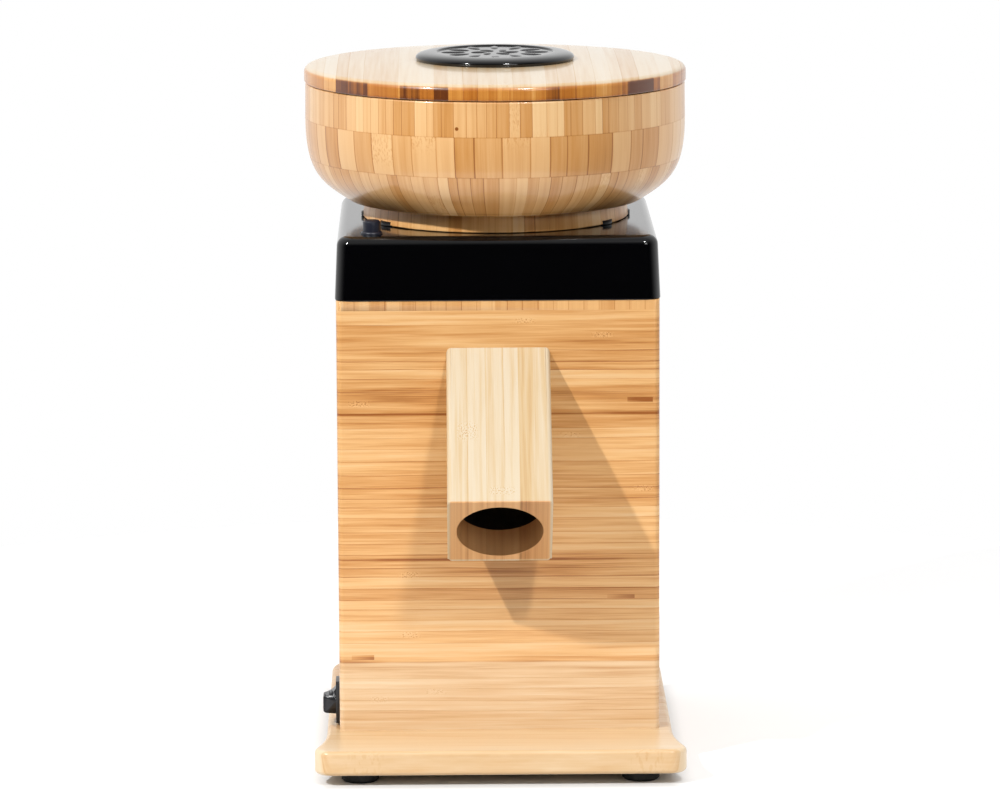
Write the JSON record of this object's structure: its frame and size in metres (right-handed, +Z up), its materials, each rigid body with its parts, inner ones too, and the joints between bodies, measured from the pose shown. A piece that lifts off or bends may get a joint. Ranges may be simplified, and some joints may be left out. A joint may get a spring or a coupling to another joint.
{
  "type": "electric grain mill",
  "caption": "Electric stone grain mill: square wooden housing on a flared base board, black cover, round staved hopper with lid that turns to set the grind, and a slanted flour spout.",
  "frame": {"origin": "middle of the whole mill's outline seen from above, at the floor under its feet; the mill's own upright axis passes 26.15 mm behind it, at Y = +0.02615", "axes": "+Z up along the mill's upright axis, -Y to the front where the spout is, +X to the right of someone facing the front"},
  "size_m": [0.2064, 0.2587, 0.3754],
  "materials": {
    "bamboo_base": "satin",
    "bamboo_body": "satin",
    "bamboo_deck": "satin",
    "bamboo_spout": "satin",
    "bamboo_ring": "satin",
    "bamboo_bowl": "satin",
    "bamboo_lid": "satin",
    "plain_wood": "matte",
    "black_gloss": "gloss",
    "black_satin": "satin",
    "dark_plastic": "matte",
    "switch_plastic": "satin",
    "button_plastic": "satin",
    "pale_plastic": "matte",
    "chute_plastic": "satin",
    "rubber": "matte",
    "spring_steel": "satin",
    "cast_aluminium": "as cast",
    "machined_steel": "satin",
    "screw_steel": "satin",
    "painted_steel": "satin",
    "core_steel": "matte",
    "copper_winding": "varnished",
    "mill_stone": "rough",
    "capacitor_case": "satin"
  },
  "bodies": {
    "housing": {"base_board": "bamboo_base", "rubber_feet": "rubber", "foot_screws": "screw_steel", "base_screws": "screw_steel", "front_panel": "bamboo_body", "back_panel": "bamboo_body", "left_panel": "bamboo_body", "right_panel": "bamboo_body", "corner_blocks": "plain_wood", "top_deck": "bamboo_deck", "deck_screws": "screw_steel", "spout_block": "bamboo_spout", "spout_screws": "screw_steel", "chute": "chute_plastic", "top_cover": "black_gloss", "cover_screws": "screw_steel", "overload_breaker": "dark_plastic", "reset_spring": "spring_steel", "mill_chamber": "cast_aluminium", "chamber_screws": "screw_steel", "guide_pins": "machined_steel", "stone_springs": "spring_steel", "shaft_seal": "rubber", "chamber_bearing": "machined_steel", "motor_bracket": "cast_aluminium", "bracket_screws": "screw_steel", "motor_screws": "screw_steel", "motor_top_bell": "cast_aluminium", "motor_bottom_bell": "cast_aluminium", "motor_can": "painted_steel", "motor_bearings": "machined_steel", "stator_core": "core_steel", "stator_windings": "copper_winding", "switch_body": "switch_plastic", "cord_gland": "dark_plastic", "gland_nut": "dark_plastic", "capacitor": "capacitor_case", "capacitor_clip": "screw_steel", "terminal_block": "pale_plastic"},
    "rotor": {"motor_shaft": "machined_steel", "motor_rotor": "core_steel", "cooling_fan": "dark_plastic", "stone_hub": "machined_steel", "drive_pins": "machined_steel", "hub_nut": "screw_steel", "sweeper": "cast_aluminium", "lower_stone": "mill_stone"},
    "stone": {"upper_stone": "mill_stone", "stone_carrier": "cast_aluminium"},
    "hopper": {"hopper_collar": "black_satin", "collar_screws": "screw_steel", "adjusting_ring": "bamboo_ring", "hopper_bowl": "bamboo_bowl"},
    "lid_body": {"lid": "bamboo_lid", "lid_knob": "black_gloss", "lid_screw": "screw_steel"},
    "rocker_body": {"rocker": "switch_plastic"},
    "button": {"reset_button": "button_plastic"}
  },
  "joints": [
    {"name": "rotor_spin", "type": "hinge", "parent": "housing", "child": "rotor", "pos_m": [0, 0.02615, 0.15], "axis": [0, 0, 1], "continuous": true},
    {"name": "stone_lift", "type": "slide", "parent": "housing", "child": "stone", "axis": [0, 0, 1], "range_m": [0, 0.0013], "deforming": ["stone_springs"]},
    {"name": "hopper_turn", "type": "hinge", "parent": "stone", "child": "hopper", "pos_m": [0, 0.02615, 0.3], "axis": [0, 0, 1], "range_deg": [0, 300]},
    {"name": "lid_lift", "type": "slide", "parent": "hopper", "child": "lid_body", "axis": [0, 0, 1], "range_m": [0, 0.06]},
    {"name": "rocker_tilt", "type": "hinge", "parent": "housing", "child": "rocker_body", "pos_m": [-0.0874, -0.03985, 0.0325], "axis": [0, -1, 0], "range_deg": [0, 20]},
    {"name": "reset_press", "type": "slide", "parent": "housing", "child": "button", "axis": [0, 0, -1], "range_m": [0, 0.0025], "stiffness_N_per_m": 400, "springref_m": -0.003, "deforming": ["reset_spring"]}
  ],
  "couplings": [
    {"joint": "stone_lift", "follows": "hopper_turn", "m_per_rad": 0.00023873}
  ]
}
